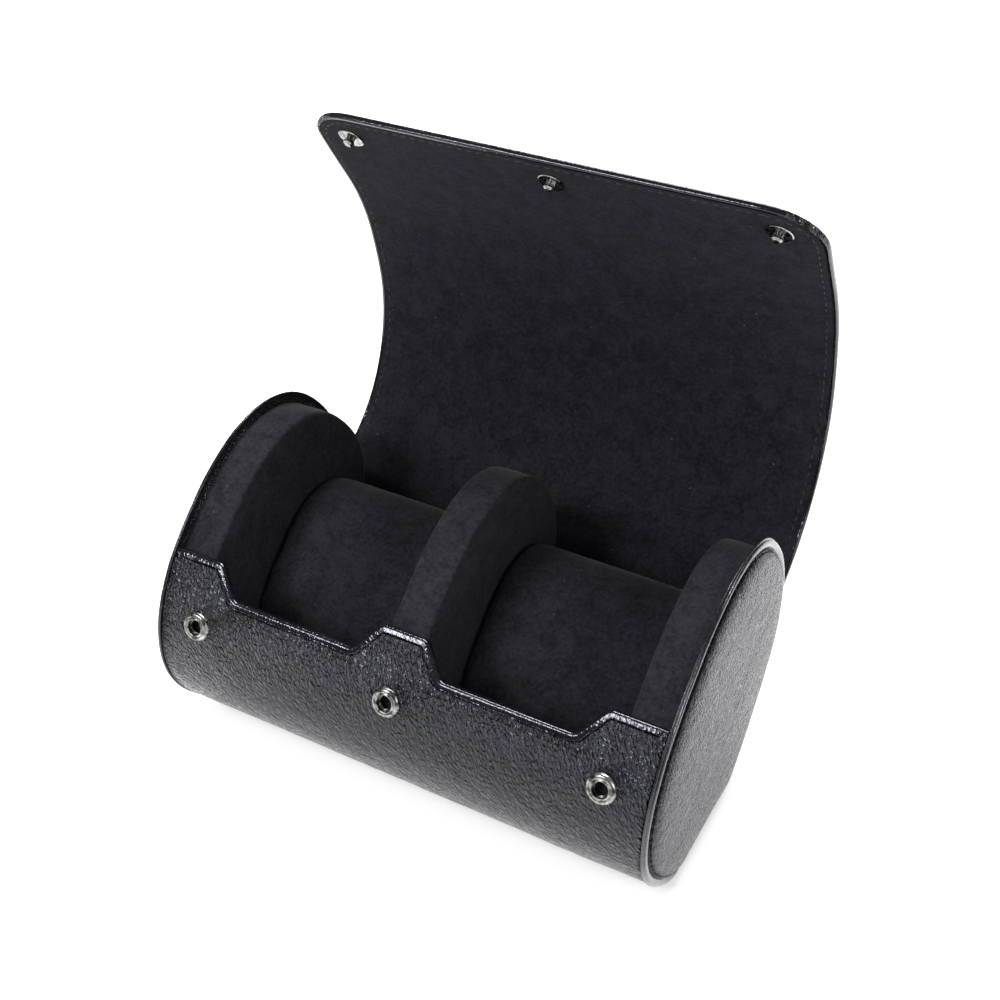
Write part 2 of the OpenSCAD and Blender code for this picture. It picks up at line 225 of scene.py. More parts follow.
def lid_direction(s):
    """Direction of the open lid in degrees above the level, at a distance from the fold."""
    mm = s / MM
    return OPEN_ANGLE + CURL * mm - CURL_FADE * mm * mm / 2


def inward(degrees):
    """(y, z) direction from the lid's leather towards its suede."""
    return np.array([-np.sin(np.radians(degrees)), np.cos(np.radians(degrees))])


def fold_point(s):
    """Suede side of the lid at one of its fold lines."""
    steps = (np.arange(CURVE_STEPS) + 0.5) / CURVE_STEPS * s
    ahead = np.radians(lid_direction(steps))
    outer = FOLD_POINT + np.array([np.cos(ahead).sum(), np.sin(ahead).sum()]) * s / CURVE_STEPS
    return outer + SHELL * inward(lid_direction(s))


def panel_outer(number, share):
    """Outer face of one moulded panel at a share of its length."""
    near, far = fold_point(FOLDS[number]), fold_point(FOLDS[number + 1])
    chord = far - near
    along = chord / np.linalg.norm(chord)
    out = np.array([along[1], -along[0]])
    radius = MOULDED_RADII[number]
    half = np.arcsin(np.linalg.norm(chord) / 2 / radius)
    turn = half * (2 * share - 1)
    face = lid_direction(FOLDS[number]) * (1 - share) + lid_direction(FOLDS[number + 1]) * share
    middle = (near + far) / 2
    arc = along * radius * np.sin(turn) + out * radius * (np.cos(turn) - np.cos(half))
    return middle + arc - SHELL * inward(face)


# The whole strip's path in (y, z), averaged over a reach that grows from the fold outwards, because
# the real lay-up bends smoothly
PATH_STEP = 0.25 * MM
path_s = np.arange(-40 * MM, 165 * MM, PATH_STEP)
path_raw = np.zeros((len(path_s), 2))
for i, s in enumerate(path_s):
    if s <= 0:
        path_raw[i] = section_point(np.interp(-s, -roll_s, roll_angles), 0)
    else:
        number = min(3, int(np.searchsorted(FOLDS, s, side="right")) - 1)
        path_raw[i] = panel_outer(number, (s - FOLDS[number]) / (FOLDS[number + 1] - FOLDS[number]))
path_smooth = path_raw.copy()
for i, s in enumerate(path_s):
    at_fold = min(1, max(0, s + 7.5 * MM) / (4 * MM))
    along_lid = min(1, max(0, s) / (18 * MM))
    ease = 3 * MM * at_fold + 5 * MM * along_lid
    reach = int(ease / PATH_STEP)
    if reach and reach <= i < len(path_s) - reach:
        path_smooth[i] = path_raw[i - reach:i + reach + 1].mean(axis=0)
path_ahead = np.gradient(path_smooth, axis=0)
path_ahead /= np.linalg.norm(path_ahead, axis=1)[:, None]


def strip_point(x, s, depth):
    """Where a point of the flat strip comes to lie on the finished case."""
    if s < ROLL_END_S - 2 * MM:
        y, z = section_point(float(np.interp(-s, -roll_s, roll_angles)), depth)
        return Vector((x, float(y), float(z)))
    y, z, ahead_y, ahead_z = (float(np.interp(s, path_s, row)) for row in (*path_smooth.T, *path_ahead.T))
    return Vector((x, y - depth * ahead_z, z + depth * ahead_y))


def cut_blank(corners, rounded, radius, top_depth, thickness):
    """A flat blank cut to its outline, grain side up, with some corners rounded."""
    bm = bmesh.new()
    bm.faces.new([bm.verts.new((x, s, -top_depth)) for x, s in corners])
    bm.verts.ensure_lookup_table()
    bmesh.ops.bevel(bm, geom=[bm.verts[i] for i in rounded], offset=radius, offset_type="OFFSET",
                    segments=8, profile=0.5, affect="VERTICES", material=-1)
    made = bmesh.ops.extrude_face_region(bm, geom=list(bm.faces))
    lower = [v for v in made["geom"] if isinstance(v, bmesh.types.BMVert)]
    bmesh.ops.translate(bm, verts=lower, vec=(0, 0, -thickness))
    bmesh.ops.recalc_face_normals(bm, faces=list(bm.faces))
    return bm


def flat_side(bm, upward):
    """The blank's large top or bottom face."""
    return max((f for f in bm.faces if (f.normal.z > 0.9) == upward and abs(f.normal.z) > 0.9),
               key=lambda f: f.calc_area())


def step_in(bm, upward, width, depth):
    """Insets the top or bottom face, and raises or sinks what is inside."""
    bmesh.ops.inset_region(bm, faces=[flat_side(bm, upward)], thickness=width, depth=depth,
                           use_even_offset=True)


def round_rims(bm, width, segments=3):
    """Rounds the edges between the flat sides and the cut edge."""
    rims = [e for e in bm.edges if len(e.link_faces) == 2
            and sorted(abs(f.normal.z) > 0.7 for f in e.link_faces) == [False, True]]
    bmesh.ops.bevel(bm, geom=rims, offset=width, offset_type="OFFSET", segments=segments, profile=0.5,
                    affect="EDGES", material=-1, clamp_overlap=True)


def cross_cuts(bm, axis, first, last, step):
    """Cuts the blank across at even steps, so that it can bend."""
    for place in np.arange(first, last, step):
        point = Vector((0, 0, 0))
        point[axis] = place
        square = Vector((0, 0, 0))
        square[axis] = 1
        bmesh.ops.bisect_plane(bm, geom=[*bm.verts, *bm.edges, *bm.faces], dist=1e-8,
                               plane_co=point, plane_no=square)


def trim(bm, s, keep_below):
    """Cuts the strip square across at s, and closes the cut."""
    cut = bmesh.ops.bisect_plane(bm, geom=[*bm.verts, *bm.edges, *bm.faces], dist=1e-8,
                                 plane_co=(0, s, 0), plane_no=(0, 1 if keep_below else -1, 0),
                                 clear_outer=True)
    loop = [e for e in cut["geom_cut"] if isinstance(e, bmesh.types.BMEdge)]
    bmesh.ops.holes_fill(bm, edges=loop, sides=0)


WIDE_SWELL = 0.021
SMALL_SWELL = 0.006


def lay_on(bm, wobble):
    """Keeps the flat place as the UV map, then bends the blank onto the case."""
    grain = bm.loops.layers.uv.new("surface")
    for face in bm.faces:
        for loop in face.loops:
            x, s, up = loop.vert.co
            loop[grain].uv = (x + 0.7 * up, s + 0.7 * up)
    for vert in bm.verts:
        x, s, up = vert.co
        swell = wobble * noise.noise(Vector((x, s, 0)) / WIDE_SWELL)
        swell += 0.35 * wobble * noise.noise(Vector((x, s, 7)) / SMALL_SWELL)
        vert.co = strip_point(x, s, -up - swell * (1 if up > -LEATHER / 2 else 0))


def mark(bm, name, share_at):
    """Stores a share from 0 to 1 at each point, for the leather to read: "groove" or "taut"."""
    layer = bm.verts.layers.float.new(name)
    for vert in bm.verts:
        vert[layer] = share_at(vert.co)


def hump(value, low, high, fade):
    """1 between low and high, falling to 0 over a fade on each side."""
    return max(0, min(1, (value - low + fade) / fade, (high + fade - value) / fade))


def edge_distance(line, point):
    """How far a point of the flat blank lies from a line of corners."""
    here = Vector(point[:2])
    nearest = 1.0
    for start, end in zip(line, line[1:]):
        a, b = Vector(start), Vector(end)
        share = min(1, max(0, (here - a).dot(b - a) / (b - a).length_squared))
        nearest = min(nearest, (a.lerp(b, share) - here).length)
    return nearest


def piece_from(bm, name, material, sharp=38):
    """Turns a bmesh into a smooth-shaded piece with its material."""
    bmesh.ops.recalc_face_normals(bm, faces=list(bm.faces))
    mesh = bpy.data.meshes.new(name)
    bm.to_mesh(mesh)
    bm.free()
    mesh.shade_smooth()
    mesh.set_sharp_from_angle(angle=math.radians(sharp))
    mesh.materials.append(material)
    piece = bpy.data.objects.new(name, mesh)
    bpy.context.scene.collection.objects.link(piece)
    return piece


def new_group(name, inputs, outputs):
    """A shader node group with named sockets."""
    group = bpy.data.node_groups.new(name, "ShaderNodeTree")
    for label, kind, value in inputs:
        socket = group.interface.new_socket(label, in_out="INPUT", socket_type=kind)
        if value is not None:
            socket.default_value = value
    for label in outputs:
        group.interface.new_socket(label, in_out="OUTPUT", socket_type="NodeSocketFloat")
    return group, group.nodes.new("NodeGroupInput").outputs, group.nodes.new("NodeGroupOutput").inputs


def clouded(tree, place, scale, detail, roughness=0.5, distortion=0.0):
    """The outputs of a noise texture at a place given as a socket."""
    return add_node(tree, "ShaderNodeTexNoise", None,
                    {"Vector": place, "Scale": scale, "Detail": detail, "Roughness": roughness,
                     "Distortion": distortion}).outputs


def mixed(tree, share, one, other):
    """A colour between two, at a share given as a socket."""
    return add_node(tree, "ShaderNodeMix", {"data_type": "RGBA"},
                    {"Factor": share, 6: one, 7: other}).outputs[2]


def finish_surface(tree, shader, colour, height, strength, distance):
    """Gives the shader its colour, and a height that stands out of the surface as a bump."""
    bump = add_node(tree, "ShaderNodeBump", None,
                    {"Height": height, "Strength": strength, "Distance": distance})
    tree.links.new(colour, shader.inputs["Base Color"])
    tree.links.new(bump.outputs[0], shader.inputs["Normal"])


# Pebble grain: raised cells between fine creases, drawn out along the hide's backbone, and wide
# shallow wrinkles under them
grain_group, given, made = new_group(
    "pebble_grain",
    [("Vector", "NodeSocketVector", None), ("Cells", "NodeSocketFloat", 1000.0),
     ("Stretch", "NodeSocketFloat", 0.6)],
    ["Height", "Tone", "Crease", "Polish"])
MIDDLE_HEIGHT = 2.45
stretch = add_node(grain_group, "ShaderNodeCombineXYZ", None, {"X": 1.0, "Y": given["Stretch"], "Z": 1.0})
turned_hide = add_node(grain_group, "ShaderNodeVectorRotate", {"rotation_type": "Z_AXIS"},
                       {"Vector": given["Vector"], "Angle": math.radians(32)})
along = add_node(grain_group, "ShaderNodeVectorMath", {"operation": "MULTIPLY"},
                 {0: turned_hide.outputs[0], 1: stretch.outputs[0]})
sized = add_node(grain_group, "ShaderNodeVectorMath", {"operation": "SCALE"},
                 {0: along.outputs[0], "Scale": given["Cells"]}).outputs[0]
drift = clouded(grain_group, sized, 0.55, 2.0, 0.6)
pushed = add_node(grain_group, "ShaderNodeVectorMath", {"operation": "MULTIPLY_ADD"},
                  {0: drift["Color"], 1: (1.3, 1.3, 1.3), 2: sized})
cells = add_node(grain_group, "ShaderNodeTexVoronoi", {"feature": "DISTANCE_TO_EDGE"},
                 {"Vector": pushed.outputs[0], "Scale": 1.0, "Randomness": 1.0}).outputs["Distance"]
plateau = ranged(grain_group, cells, 0.0, 0.28, smooth=True)
fine = clouded(grain_group, sized, 3.2, 3.0, 0.65)["Fac"]
pebbles = sums(grain_group, "MULTIPLY_ADD", fine, 0.32, plateau)
wrinkles = clouded(grain_group, sized, 0.22, 2.0, 0.5, 0.8)["Fac"]
piled = sums(grain_group, "MULTIPLY_ADD", wrinkles, 3.0, pebbles)
height = sums(grain_group, "SUBTRACT", piled, MIDDLE_HEIGHT)
patches = clouded(grain_group, given["Vector"], 75.0, 4.0, 0.6)["Fac"]
crease = ranged(grain_group, cells, 0.0, 0.14, 1.0, 0.0)
worn = sums(grain_group, "MULTIPLY_ADD", fine, 0.30, cells)
polish = ranged(grain_group, worn, 0.13, 0.36, 0.25, 1.0, smooth=True)
for label, socket in (("Polish", polish), ("Height", height), ("Tone", patches), ("Crease", crease)):
    grain_group.links.new(socket, made[label])


def leather_material(name, dark, light, cells, stretch, relief, roughness, finish):
    """Black leather: pebble grain, a little patchy, with painted shade in its creases and a clear finish
    on the tops of the pebbles.
    """
    material, tree, shader = new_material(name)
    place = add_node(tree, "ShaderNodeUVMap", {"uv_map": "surface"})
    grain = add_node(tree, "ShaderNodeGroup", {"node_tree": grain_group},
                     {"Vector": place.outputs["UV"], "Cells": cells, "Stretch": stretch}).outputs
    taut = add_node(tree, "ShaderNodeAttribute", {"attribute_name": "taut"}).outputs["Fac"]
    groove = add_node(tree, "ShaderNodeAttribute", {"attribute_name": "groove"}).outputs["Fac"]

    tone = ranged(tree, grain["Tone"], 0.3, 0.7)
    colour = mixed(tree, tone, (*dark, 1), (*light, 1))
    # Painted shade: the colour is darker in the grain's creases, where shade would fall.
    crease_shaded = mixed(tree, grain["Crease"], colour, tuple(0.3 * c for c in dark) + (1,))

    # Where the hide is drawn taut the creases close, the grain flattens and the surface lies lower
    loose = sums(tree, "MULTIPLY_ADD", taut, -0.975, 1.0)
    stretched = sums(tree, "MULTIPLY", grain["Height"], loose)
    turned_in = sums(tree, "MULTIPLY_ADD", taut, -1.3, stretched)
    finish_surface(tree, shader, crease_shaded, turned_in, 1.0, relief)
    dulled = sums(tree, "MULTIPLY_ADD", grain["Tone"], 0.16, roughness - 0.08)
    buffed = sums(tree, "MULTIPLY_ADD", taut, -0.08, dulled)
    open_crease = sums(tree, "MULTIPLY", grain["Crease"], loose)
    rough = sums(tree, "MULTIPLY_ADD", open_crease, 0.22, buffed)
    tree.links.new(rough, shader.inputs["Roughness"])

    kept = add_node(tree, "ShaderNodeMath", {"operation": "SUBTRACT", "use_clamp": True},
                    {0: 1.0, 1: groove})
    rubbed = sums(tree, "MULTIPLY", taut, 0.16)
    film = sums(tree, "MULTIPLY_ADD", grain["Polish"], finish, rubbed)
    film_left = sums(tree, "MULTIPLY", film, kept.outputs[0])
    tree.links.new(film_left, shader.inputs["Coat Weight"])
    shader.inputs["Coat Roughness"].default_value = 0.17
    shader.inputs["Specular IOR Level"].default_value = 0.6
    shader.inputs["Specular Tint"].default_value = (0.84, 0.86, 1.0, 1)
    return material


black_leather = leather_material("black_leather", (0.004, 0.004, 0.006), (0.008, 0.008, 0.011),
                                 860.0, 0.52, 0.00125, 0.20, 0.03)

MID_TAB = 7.1 * MM
END_TAB = 61.4 * MM
SLOPE = 6.9 * MM
low = FRONT_EDGE_S - TURNED_EDGE
high = low - TAB_HEIGHT
notch = [(MID_TAB, high), (MID_TAB + SLOPE, low), (END_TAB - SLOPE, low), (END_TAB, high)]
front_outline = [(-x, s) for x, s in reversed(notch)] + notch
roll_corners = [(ROLL_X, high), (ROLL_X, ROLL_END_S + 9 * MM), (-ROLL_X, ROLL_END_S + 9 * MM),
                (-ROLL_X, high), *front_outline]
bm = cut_blank(roll_corners, range(4, 12), 1.3 * MM, 0, SHELL - GLUE)
round_rims(bm, 0.85 * MM, 4)
step_in(bm, False, 0.15 * MM, 0)
step_in(bm, False, 0.05 * MM, -(SHELL - LEATHER - GLUE))
step_in(bm, True, 0.9 * MM, 0.05 * MM)
step_in(bm, True, 0.35 * MM, -0.28 * MM)
step_in(bm, True, 0.45 * MM, 0.22 * MM)
trim(bm, ROLL_END_S, True)
cross_cuts(bm, 1, high + 2 * MM, ROLL_END_S, 2.4 * MM)
cross_cuts(bm, 0, -ROLL_X + 4 * MM, ROLL_X, 4 * MM)
for vert in bm.verts:
    if ROLL_X - 3.2 * MM < abs(vert.co.x) < ROLL_X - 0.86 * MM and vert.co.y > high + 3 * MM:
        vert.co.z = 0 if vert.co.z > -0.4 * MM else vert.co.z
front_line = [(-ROLL_X, high), *front_outline, (ROLL_X, high)]
mark(bm, "taut", lambda co: hump(edge_distance(front_line, co), 0, 1.8 * MM, 0.7 * MM))
mark(bm, "groove", lambda co: hump(edge_distance(front_line, co), 2.0 * MM, 2.2 * MM, 0.35 * MM))
lay_on(bm, 0.22 * MM)
roll_leather = piece_from(bm, "roll_leather", black_leather)

SNAP_PITCH = 65 * MM
SOCKET_ANGLE = 82.5
socket_s = float(np.interp(-SOCKET_ANGLE, -roll_angles, roll_s))


def square_to_leather(x, s):
    """Frame of a fitting on the leather: local Z out of it, local Y along it."""
    here, ahead = strip_point(x, s, 0), strip_point(x, s - 0.5 * MM, 0)
    y_axis = (ahead - strip_point(x, s + 0.5 * MM, 0)).normalized()
    x_axis = Vector((1, 0, 0))
    z_axis = x_axis.cross(y_axis)
    return Matrix.Translation(here) @ Matrix((x_axis, y_axis, z_axis)).transposed().to_4x4()


socket_frames = [square_to_leather(side * SNAP_PITCH, socket_s) for side in (-1, 0, 1)]
punch_mesh = bpy.data.meshes.new("punch")
bm = bmesh.new()
for place in socket_frames:
    bmesh.ops.create_cone(bm, cap_ends=True, segments=32, radius1=2.95 * MM, radius2=2.95 * MM,
                          depth=8 * MM, matrix=place)
bm.to_mesh(punch_mesh)
bm.free()
punch = bpy.data.objects.new("punch", punch_mesh)
bpy.context.scene.collection.objects.link(punch)


def punch_holes(piece):
    """Punches the three socket holes, and applies the cut to the mesh."""
    cut = piece.modifiers.new("punched", "BOOLEAN")
    cut.operation = "DIFFERENCE"
    cut.solver = "EXACT"
    cut.object = punch
    depsgraph = bpy.context.evaluated_depsgraph_get()
    depsgraph.update()
    punched = bpy.data.meshes.new_from_object(piece.evaluated_get(depsgraph))
    piece.modifiers.clear()
    piece.data = punched


punch_holes(roll_leather)
bpy.data.objects.remove(punch)
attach(roll_leather, "case")
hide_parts("body_leather")


# Stiffening board of the roll: grey millboard, glued between the leather and the suede.  All
# of the hidden boards are cut from the same sheet.

def fibre_material(name, dark, light, scale):
    """Pressed fibre: fine flecks in two tones."""
    material, tree, shader = new_material(name)
    place = add_node(tree, "ShaderNodeTexCoord").outputs["Object"]
    flecks = clouded(tree, place, scale, 5.0, 0.7)["Fac"]
    finish_surface(tree, shader, mixed(tree, flecks, (*dark, 1), (*light, 1)), flecks, 0.6, 0.0001)
    shader.inputs["Roughness"].default_value = 0.9
    return material


def finish_nodes(material, *names):
    """Gives carried-over CAD nodes their material."""
    for name in names:
        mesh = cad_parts[name].data
        mesh.materials.clear()
        mesh.materials.append(material)


millboard = fibre_material("millboard", (0.20, 0.19, 0.17), (0.42, 0.40, 0.36), 900.0)
finish_nodes(millboard, "body_board", "left_wall_board", "right_wall_board",
             "lid_back_board", "lid_top_board", "lid_front_board", "flap_board")


# Suede lining of the roll: black split suede with a short nap, glued to the board.  The same suede
# covers the walls, the divider, the pillows and the lid, so its material is made here; the lid's
# copy is darker, as painted shade.

nap_group, given, made = new_group("suede_nap", [("Vector", "NodeSocketVector", None)],
                                   ["Height", "Tone", "Lint"])
brushed = clouded(nap_group, given["Vector"], 160.0, 6.0, 0.68, 0.6)["Fac"]
fibres = clouded(nap_group, given["Vector"], 2600.0, 3.0, 0.7)["Fac"]
tufts = clouded(nap_group, given["Vector"], 900.0, 3.0, 0.7)["Fac"]
clouds = sums(nap_group, "MULTIPLY", brushed, 0.7)
mottle = sums(nap_group, "MULTIPLY_ADD", tufts, 0.85, clouds)
nap_height = sums(nap_group, "MULTIPLY_ADD", tufts, 1.2, fibres)

# Lint: a third of the cells of a fine pattern hold one speck each, some fainter than others
warp = clouded(nap_group, given["Vector"], 240.0, 2.0)["Color"]
bent = add_node(nap_group, "ShaderNodeVectorMath", {"operation": "MULTIPLY_ADD"},
                {0: warp, 1: (0.004, 0.004, 0.004), 2: given["Vector"]})
specks = add_node(nap_group, "ShaderNodeTexVoronoi", {"feature": "F1"},
                  {"Vector": bent.outputs[0], "Scale": 300.0, "Randomness": 1.0}).outputs
chance = add_node(nap_group, "ShaderNodeSeparateColor", None, {0: specks["Color"]}).outputs
rare = sums(nap_group, "GREATER_THAN", chance[0], 0.66)
near = ranged(nap_group, specks["Distance"], 0.025, 0.08, 1.0, 0.0)
faint = sums(nap_group, "MULTIPLY", near, chance[1])
lint = sums(nap_group, "MULTIPLY", rare, faint)
for label, socket in (("Height", nap_height), ("Tone", mottle), ("Lint", lint)):
    nap_group.links.new(socket, made[label])


def suede_material(name, dark, light, sheen):
    """Brushed suede: a mottled nap, a soft sheen and a few specks of lint."""
    material, tree, shader = new_material(name)
    place = add_node(tree, "ShaderNodeTexCoord").outputs["Object"]
    nap = add_node(tree, "ShaderNodeGroup", {"node_tree": nap_group}, {"Vector": place}).outputs
    colour = mixed(tree, ranged(tree, nap["Tone"], 0.60, 0.95), (*dark, 1), (*light, 1))
    dusty = mixed(tree, nap["Lint"], colour, (0.16, 0.16, 0.16, 1))
    finish_surface(tree, shader, dusty, nap["Height"], 1.0, 0.00012)
    shader.inputs["Roughness"].default_value = 0.95
    shader.inputs["Specular IOR Level"].default_value = 0.15
    shader.inputs["Sheen Weight"].default_value = sheen
    shader.inputs["Sheen Roughness"].default_value = 0.45
    shader.inputs["Sheen Tint"].default_value = (0.75, 0.76, 0.82, 1)
    return material


black_suede = suede_material("black_suede", (0.0095, 0.0092, 0.0122), (0.029, 0.028, 0.036), 0.08)

back_in = 1.0 * MM
lining_corners = [(x, s + back_in) for x, s in roll_corners]
bm = cut_blank(lining_corners, range(4, 12), 1.3 * MM, LEATHER + BOARD, SUEDE)
round_rims(bm, 0.25 * MM, 2)
trim(bm, ROLL_END_S, True)
cross_cuts(bm, 1, high + 2 * MM, ROLL_END_S, 3 * MM)
lay_on(bm, 0)
roll_lining = piece_from(bm, "roll_lining", black_suede)
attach(roll_lining, "case")
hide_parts("body_suede")


# Stitching: black waxed thread, one short stitch about every three millimetres, sunk into the
# leather below the low front edges.

def thread_material(name, dark, light, gloss):
    """Twisted thread: fine diagonal bands."""
    material, tree, shader = new_material(name)
    place = add_node(tree, "ShaderNodeTexCoord").outputs["Object"]
    twist = add_node(tree, "ShaderNodeTexWave", {"bands_direction": "DIAGONAL"},
                     {"Vector": place, "Scale": 900.0, "Distortion": 1.0}).outputs["Fac"]
    finish_surface(tree, shader, mixed(tree, twist, (*dark, 1), (*light, 1)), twist, 0.7, 0.00008)
    shader.inputs["Roughness"].default_value = 0.55
    shader.inputs["Specular IOR Level"].default_value = gloss
    return material


waxed_thread = thread_material("waxed_thread", (0.012, 0.012, 0.013), (0.045, 0.043, 0.041), 0.5)


def sew(name, stitches, length, thick, material):
    """A row of stitches: each is (middle, direction along, direction out) of one stitch."""
    bm = bmesh.new()
    for middle, along, out in stitches:
        across = along.cross(out).normalized()
        lifted = across.cross(along)
        turn = Matrix((across, along.normalized(), lifted)).transposed().to_4x4()
        shape = Matrix.Diagonal((thick / 2, length / 2, thick / 2, 1))
        bmesh.ops.create_uvsphere(bm, u_segments=6, v_segments=5, radius=1,
                                  matrix=Matrix.Translation(middle) @ turn @ shape)
    return piece_from(bm, name, material, 80)


def strip_stitch(x, s, toward_x, toward_s, depth):
    """One stitch on the strip, along a direction given on the flat blank."""
    step = 0.5 * MM
    here = strip_point(x, s, depth)
    ahead = strip_point(x + toward_x * step, s + toward_s * step, depth)
    out = (strip_point(x, s, depth - step) - here).normalized()
    return here, (ahead - here).normalized(), out


STITCH_PITCH = 2.8 * MM
STITCH_INSET = 4.6 * MM
front_stitches = []
for side in (-1, 1):
    for x in np.arange(MID_TAB + SLOPE - 3 * MM, END_TAB - SLOPE + 4 * MM, STITCH_PITCH):
        front_stitches.append(strip_stitch(side * x, low + STITCH_INSET, 1, 0, -0.02 * MM))
front_stitching = sew("front_stitching", front_stitches, 1.7 * MM, 0.42 * MM, waxed_thread)
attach(front_stitching, "case")


# End walls: a millboard, a core of fibreboard and a suede cover drawn over the edge and the
# inner face, which is softly padded.

fibreboard = fibre_material("fibreboard", (0.24, 0.16, 0.09), (0.46, 0.33, 0.2), 700.0)
finish_nodes(fibreboard, "left_wall_core", "right_wall_core", "divider_core")
PAD_GAP = 0.4 * MM
PAD_FADE = 6


def pad_depth(angle):
    """Depth of the padded pieces' edge: they stand a little lower under the lid."""
    from_hinge = (angle + 720 - HINGE_ANGLE + PAD_FADE) % 360
    run = BAY_EDGE_ANGLE + 360 - HINGE_ANGLE + PAD_FADE
    return SHELL + PAD_GAP * min(1, max(0, min(from_hinge, run - from_hinge) / PAD_FADE))


def section_disc(sides, depth_at):
    """An upright disc with the section's outline, whose face looks along X."""
    bm = bmesh.new()
    bmesh.ops.create_circle(bm, cap_ends=True, segments=sides, radius=1)
    for vert in bm.verts:
        angle = math.degrees(math.atan2(-vert.co.x, vert.co.y))
        y, z = section_point(angle, depth_at(angle))
        vert.co = (0, float(y), float(z))
    return bm


outline_table = {}


def outline_of(away, depth_at):
    """Distance from the oval's centre to the cover's outline, in the direction given."""
    key = depth_at.__name__
    if key not in outline_table:
        angles = np.arange(-180, 180.01, 0.5)
        points = [section_point(a, depth_at(a)) for a in angles]
        bearing = np.unwrap([math.atan2(-y, z - CENTRE_Z) for y, z in points])
        reach = [math.hypot(y, z - CENTRE_Z) for y, z in points]
        outline_table[key] = (bearing, reach)
    bearing, reach = outline_table[key]
    return float(np.interp(math.atan2(-away.y, away.z), bearing, reach))


def next_ring(bm, face, first):
    """Extrudes the open end once more.  The end left behind goes, except the first: it closes the back."""
    made = bmesh.ops.extrude_face_region(bm, geom=[face])["geom"]
    if not first:
        bmesh.ops.delete(bm, geom=[face], context="FACES_ONLY")
    return next(f for f in made if isinstance(f, bmesh.types.BMFace))


def lathe_oval(sides, depth_at, profile, ruffle=None):
    """A cover with the section's outline: each profile entry is (x, distance in from the outline)."""
    bm = section_disc(sides, depth_at)
    centre = Vector((0, 0, CENTRE_Z))
    face = bm.faces[:][0]
    for step, (x, inset) in enumerate(profile):
        if step:
            face = next_ring(bm, face, step == 1)
        for vert in face.verts:
            away = Vector((0, vert.co.y, vert.co.z)) - centre
            ring = centre + away.normalized() * (outline_of(away, depth_at) - inset)
            shift = ruffle(x, inset, math.atan2(away.y, away.z)) if ruffle else 0
            vert.co = (x + shift, ring.y, ring.z)
    return bm


def pad_ruffle(x, inset, bearing):
    """Soft unevenness of a padded face."""
    where = Vector((inset * 40 * math.cos(bearing), inset * 40 * math.sin(bearing), x * 30))
    return 0.10 * MM * noise.noise(where * 3)


for side, name in ((-1, "left"), (1, "right")):
    profile = [(77.85, 0.6), (77.85, 0.0), (74, -0.02), (71, -0.1), (68.6, -0.05), (67.5, 0.0),
               (66.9, 0.12), (66.45, 0.4), (66.22, 0.85), (66.12, 1.8), (66.0, 4), (65.85, 8),
               (65.75, 14), (65.7, 20), (65.7, 27), (65.7, 33)]
    bm = lathe_oval(240, pad_depth, [(side * x * MM, inset * MM) for x, inset in profile], pad_ruffle)
    cover = piece_from(bm, name + "_wall_cover", black_suede, 60)
    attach(cover, "case")
    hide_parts(name + "_wall_suede")


# End caps: a leather disc glued to each end wall and sewn through near its edge, where the border
# stands up as a smooth roll and the middle puckers to the stitches.

cap_leather = leather_material("cap_leather", (0.010, 0.010, 0.011), (0.017, 0.017, 0.019),
                               780.0, 1.40, 0.00130, 0.24, 0.03)
dull_thread = thread_material("dull_thread", (0.004, 0.004, 0.005), (0.018, 0.017, 0.016), 0.12)
CAP_STITCHES = 92
CAP_SEAM_INSET = 3.35 * MM
CAP_SEAM_X = 79.50 * MM


def cap_depth(angle):
    """The caps are as large as the section itself."""
    return 0.0


def rim_inset(point):
    """How far a point lies inside the section's outline."""
    away = Vector((0, point.y, point.z - CENTRE_Z))
    return outline_of(away, cap_depth) - away.length


def cap_ruffle(x, inset, bearing):
    """The middle puckers to each stitch, and fades to a flat disc."""
    side = 1 if x > 0 else -1
    pull = math.exp(-((inset / MM - 3.5) / 0.8) ** 2)
    phase = bearing * CAP_STITCHES / 2
    wander = noise.noise(Vector((math.cos(bearing) * 5, math.sin(bearing) * 5, 2 * side)))
    return side * MM * (0.16 * pull * (math.sin(phase) ** 2 - 0.5) + 0.10 * wander)


def cap_stitch(side, number):
    """One stitch of the seam round an end cap."""
    bearing = math.tau * number / CAP_STITCHES
    points = []
    for turn in (bearing, bearing + 0.01):
        away = Vector((0, -math.sin(turn), math.cos(turn)))
        points.append(away * (outline_of(away, cap_depth) - CAP_SEAM_INSET))
    middle = Vector((side * CAP_SEAM_X, 0, CENTRE_Z)) + points[0]
    return middle, (points[1] - points[0]).normalized(), Vector((side, 0, 0))


